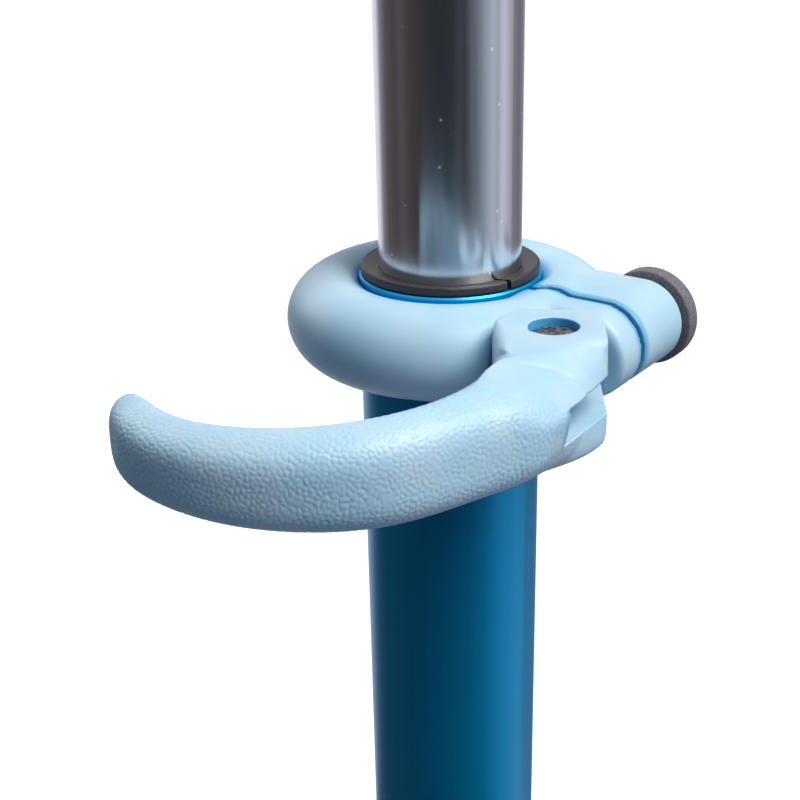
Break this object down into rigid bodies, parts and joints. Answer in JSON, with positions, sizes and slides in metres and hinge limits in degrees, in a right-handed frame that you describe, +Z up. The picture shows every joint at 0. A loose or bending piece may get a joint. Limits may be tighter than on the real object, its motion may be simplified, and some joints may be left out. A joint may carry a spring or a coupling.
{
  "type": "telescopic pole cam lever clamp",
  "caption": "Telescopic pole joint with a split collar, curved cam lever, cross screw and hand nut that lock a sliding inner tube.",
  "frame": {"origin": "centre of the open lower end of the outer tube", "axes": "+Z up the pole towards the inner tube, +X through the collar's ears, +Y along the cross screw towards the hand nut"},
  "size_m": [0.0732, 0.1064, 0.202],
  "materials": {
    "outer_tube": "deep blue anodised or lacquered, glossy",
    "inner_tube": "polished",
    "guide_ring": "plain moulded",
    "tube_bush": "satin moulded",
    "clamp_collar": "smooth satin",
    "cam_lever": "leather grained grip, smooth head",
    "pivot_barrel": "blackened",
    "clamp_screw": "blackened",
    "seat_washer": "zinc plated",
    "thread_insert": "plain",
    "hand_nut": "fine matte grain"
  },
  "bodies": {
    "pole": {"outer_tube": "outer_tube", "tube_bush": "tube_bush", "clamp_collar": "clamp_collar", "pivot_barrel": "pivot_barrel", "clamp_screw": "clamp_screw", "seat_washer": "seat_washer"},
    "slider": {"guide_ring": "guide_ring"},
    "riser": {"inner_tube": "inner_tube"},
    "lever": {"cam_lever": "cam_lever"},
    "nut": {"hand_nut": "hand_nut", "thread_insert": "thread_insert"}
  },
  "joints": [
    {"name": "tube_slide", "type": "slide", "parent": "pole", "child": "slider", "axis": [0, 0, 1], "range_m": [-0.026, 0.047]},
    {"name": "tube_turn", "type": "hinge", "parent": "slider", "child": "riser", "pos_m": [0, 0, 0.06], "axis": [0, 0, 1], "continuous": true},
    {"name": "lever_swing", "type": "hinge", "parent": "pole", "child": "lever", "pos_m": [0.0306, -0.0168, 0.1423], "axis": [0, 0, 1], "range_deg": [-30, 70]},
    {"name": "nut_turn", "type": "hinge", "parent": "pole", "child": "nut", "pos_m": [0.0306, 0.017, 0.1423], "axis": [0, 1, 0], "continuous": true}
  ]
}
